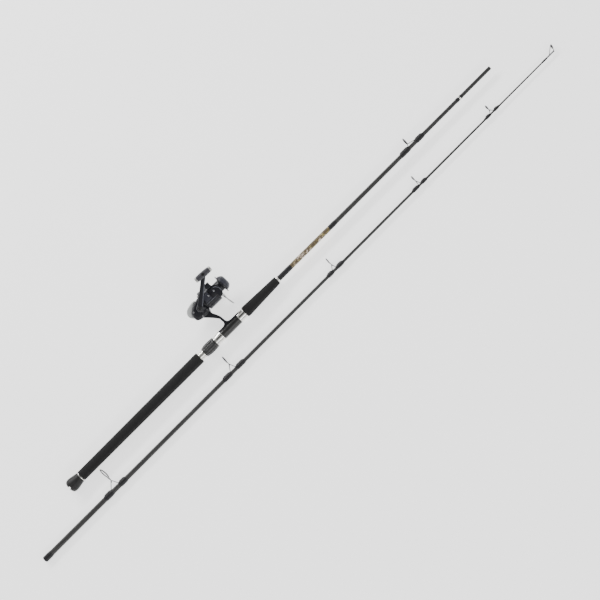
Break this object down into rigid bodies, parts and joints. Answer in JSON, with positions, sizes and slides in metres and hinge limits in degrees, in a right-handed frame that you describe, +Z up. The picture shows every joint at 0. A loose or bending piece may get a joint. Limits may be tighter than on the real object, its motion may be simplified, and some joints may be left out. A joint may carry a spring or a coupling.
{
  "type": "fishing rod and reel",
  "caption": "Two-piece fishing rod with ring guides, foam grips and a clamped fixed-spool reel; the tip section lies beside the butt section",
  "frame": {"origin": "centre of the base of the bounding box, on the floor that both sections rest on", "axes": "+X from the butt to the tip along both rod sections, +Y to the reel side, +Z up"},
  "size_m": [1.6925, 0.1969, 0.1335],
  "materials": {
    "rubber": "satin moulded rubber",
    "foam": "matt closed-cell foam",
    "seat_plastic": "dark grey gloss",
    "blank": "dark grey clear-coated composite",
    "silver": "polished",
    "label": "mottled brown and olive under clear coat",
    "thread": "black thread under clear coat",
    "guide_steel": "bright steel",
    "guide_ring": "polished ceramic",
    "reel_paint": "graphite gloss",
    "reel_plastic": "satin graphite",
    "pale_cover": "silver paint",
    "steel": "machined",
    "brass": "machined",
    "wire": "polished",
    "dark_screw": "black oxide",
    "knob_rubber": "soft grip"
  },
  "bodies": {
    "butt_section": {"butt_cap": "rubber", "cap_ring": "silver", "rear_grip": "foam", "butt_blank": "blank", "seat_barrel": "silver", "seat_body": "seat_plastic", "fixed_hood": "silver", "fore_grip": "foam", "winding_check": "silver", "label_sleeve": "label", "butt_windings": "thread", "ferrule_trim": "silver", "butt_guide_frame": "guide_steel", "butt_guide_ring": "guide_ring", "ferrule_spigot": "blank", "reel_body": "reel_paint", "side_cover": "reel_paint", "cover_screws": "steel", "rear_cover": "pale_cover", "crank_bearings": "steel", "reverse_clutch": "brass", "pinion_bearing": "steel", "port_cap": "reel_plastic", "slide_rail": "steel"},
    "sliding_hood": {"movable_hood": "silver", "hood_ring": "silver"},
    "nut": {"lock_nut": "seat_plastic"},
    "tip_section": {"tip_blank": "blank", "tip_guide_frame_1": "guide_steel", "tip_guide_frame_2": "guide_steel", "tip_guide_frame_3": "guide_steel", "tip_guide_frame_4": "guide_steel", "tip_guide_frame_5": "guide_steel", "tip_guide_rings": "guide_ring", "tip_windings": "thread", "tip_top": "guide_steel", "tip_top_ring": "guide_ring"},
    "lever": {"reverse_lever": "reel_plastic"},
    "crank": {"drive_gear": "brass", "crank_shaft": "steel", "crank_arm": "reel_paint", "crank_screw": "dark_screw", "knob_spindle": "dark_screw"},
    "handle": {"knob": "knob_rubber", "knob_caps": "silver"},
    "swing": {"swing_gear": "brass"},
    "shaft": {"main_shaft": "steel", "slider": "steel"},
    "spool_set": {"spool": "reel_paint", "drag_washers": "steel"},
    "drag": {"drag_knob": "reel_plastic"},
    "rotor_set": {"rotor": "reel_paint", "pinion": "brass", "rotor_nut": "brass", "arm_cover": "reel_plastic", "rotor_screws": "steel"},
    "bail": {"bail_arm": "reel_plastic", "bail_holder": "reel_plastic", "bail_wire": "wire"},
    "roller": {"line_roller": "brass"}
  },
  "joints": [
    {"name": "crank_turn", "type": "hinge", "parent": "butt_section", "child": "crank", "pos_m": [-0.172, 0.06113, 0.03975], "axis": [0, -0.284, 0.9588], "continuous": true},
    {"name": "handle_turn", "type": "hinge", "parent": "crank", "child": "handle", "pos_m": [-0.10983, 0.08612, 0.12642], "axis": [0, -0.284, 0.9588], "continuous": true},
    {"name": "rotor_turn", "type": "hinge", "parent": "butt_section", "child": "rotor_set", "pos_m": [-0.14, 0.06784, 0.04174], "axis": [1, 0, 0], "continuous": true},
    {"name": "bail_flip", "type": "hinge", "parent": "rotor_set", "child": "bail", "pos_m": [-0.1211, 0.06784, 0.04174], "axis": [0, -0.284, 0.9588], "range_deg": [0, 120]},
    {"name": "roller_turn", "type": "hinge", "parent": "bail", "child": "roller", "pos_m": [-0.11688, 0.04157, 0.06702], "axis": [0, -0.284, 0.9588], "continuous": true},
    {"name": "swing_turn", "type": "hinge", "parent": "butt_section", "child": "swing", "pos_m": [-0.1856, 0.05845, 0.03896], "axis": [0, -0.284, 0.9588], "continuous": true},
    {"name": "shaft_stroke", "type": "slide", "parent": "butt_section", "child": "shaft", "axis": [1, 0, 0], "range_m": [-0.012, 0]},
    {"name": "spool_slip", "type": "hinge", "parent": "shaft", "child": "spool_set", "pos_m": [-0.11, 0.06784, 0.04174], "axis": [1, 0, 0], "continuous": true},
    {"name": "drag_turn", "type": "hinge", "parent": "shaft", "child": "drag", "pos_m": [-0.09, 0.06784, 0.04174], "axis": [1, 0, 0], "range_deg": [0, 720]},
    {"name": "lever_flip", "type": "hinge", "parent": "butt_section", "child": "lever", "pos_m": [-0.188, 0.05895, 0.01825], "axis": [0, -0.284, 0.9588], "range_deg": [-18, 18]},
    {"name": "hood_slide", "type": "slide", "parent": "butt_section", "child": "sliding_hood", "axis": [1, 0, 0], "range_m": [-0.011, 0]},
    {"name": "nut_turn", "type": "hinge", "parent": "sliding_hood", "child": "nut", "pos_m": [-0.222, -0.015, 0.0172], "axis": [1, 0, 0], "range_deg": [-1980, 0]},
    {"name": "tip_apart", "type": "slide", "parent": "butt_section", "child": "tip_section", "axis": [0, -1, 0], "range_m": [0, 0.2]}
  ],
  "couplings": [
    {"joint": "rotor_turn", "follows": "crank_turn", "ratio": -5},
    {"joint": "swing_turn", "follows": "crank_turn", "ratio": -0.5},
    {"joint": "hood_slide", "follows": "nut_turn", "m_per_rad": 0.00031831}
  ]
}
